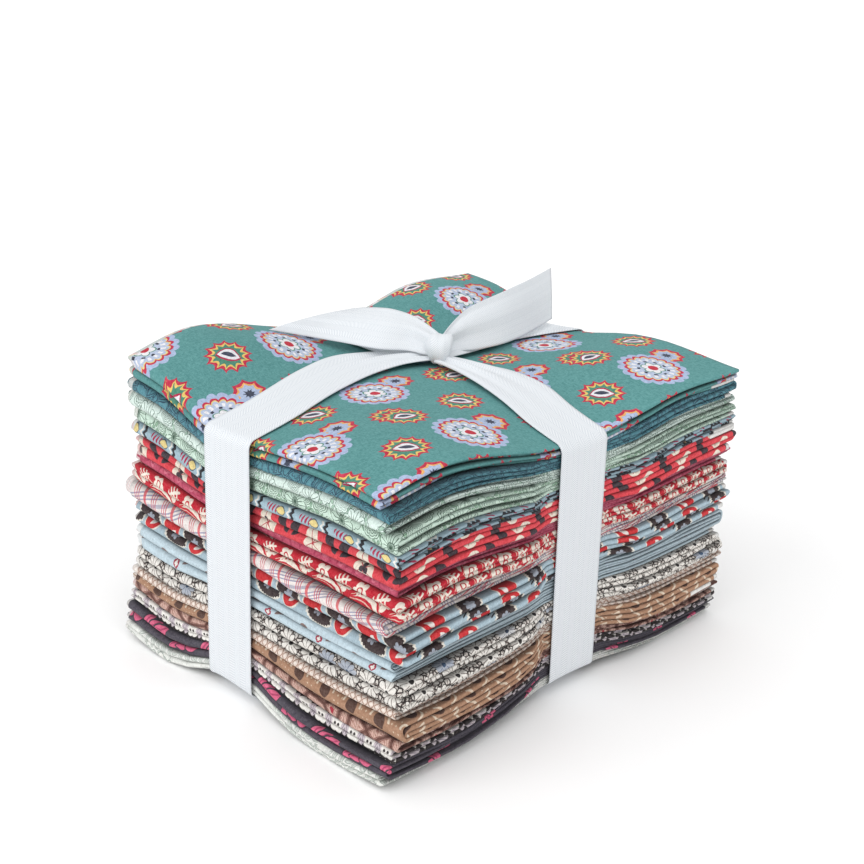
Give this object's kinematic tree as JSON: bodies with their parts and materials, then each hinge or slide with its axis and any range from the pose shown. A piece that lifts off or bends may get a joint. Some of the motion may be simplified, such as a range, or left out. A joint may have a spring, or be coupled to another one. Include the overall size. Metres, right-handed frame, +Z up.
{
  "type": "one-yard fabric bundle",
  "caption": "Stack of folded printed cotton cuts tied both ways with a wide white ribbon that is knotted on top, its two free ends loose.",
  "frame": {"origin": "on the table, under the middle of the bundle's outline", "axes": "+Z up; the round folds of the cuts face -Y, their many thin edges face +X; the longer side of the stack runs along Y"},
  "size_m": [0.2416, 0.288, 0.2065],
  "materials": {
    "teal_rosette_cut": "plain-woven printed cotton, matt, teal ground",
    "steel_blue_cut": "plain-woven printed cotton, matt, steel blue",
    "mint_cut": "plain-woven printed cotton, matt, pale mint",
    "sage_cut": "plain-woven printed cotton, matt, sage green",
    "grey_dash_cut": "plain-woven printed cotton, matt, grey blue",
    "coral_leaf_cut": "plain-woven printed cotton, matt, coral red",
    "rose_cut": "plain-woven printed cotton, matt, rose pink",
    "crimson_vine_cut": "plain-woven printed cotton, matt, crimson and cream",
    "cream_plaid_cut": "plain-woven printed cotton, matt, cream checked",
    "bold_blue_cut": "plain-woven printed cotton, matt, light blue with bold motifs",
    "pale_blue_cut": "plain-woven printed cotton, matt, light blue",
    "daisy_cut": "plain-woven printed cotton, matt, cream with black daisies",
    "pink_lattice_cut": "plain-woven printed cotton, matt, pinkish cream",
    "tan_dot_cut": "plain-woven printed cotton, matt, tan",
    "brown_pebble_cut": "plain-woven printed cotton, matt, brown and pink",
    "black_border_cut": "plain-woven printed cotton, matt, black and white",
    "charcoal_scallop_cut": "plain-woven printed cotton, matt, charcoal",
    "white_line_cut": "plain-woven printed cotton, matt, off-white",
    "white_ribbon": "white herringbone-woven cotton tape, matt"
  },
  "bodies": {
    "root": {"teal_rosette_cut": "teal_rosette_cut", "steel_blue_cut": "steel_blue_cut", "mint_cut": "mint_cut", "sage_cut": "sage_cut", "grey_dash_cut": "grey_dash_cut", "coral_leaf_cut": "coral_leaf_cut", "rose_cut": "rose_cut", "crimson_vine_cut": "crimson_vine_cut", "cream_plaid_cut": "cream_plaid_cut", "bold_blue_cut": "bold_blue_cut", "pale_blue_cut": "pale_blue_cut", "daisy_cut": "daisy_cut", "pink_lattice_cut": "pink_lattice_cut", "tan_dot_cut": "tan_dot_cut", "brown_pebble_cut": "brown_pebble_cut", "black_border_cut": "black_border_cut", "charcoal_scallop_cut": "charcoal_scallop_cut", "white_line_cut": "white_line_cut", "white_ribbon": "white_ribbon"}
  },
  "joints": []
}
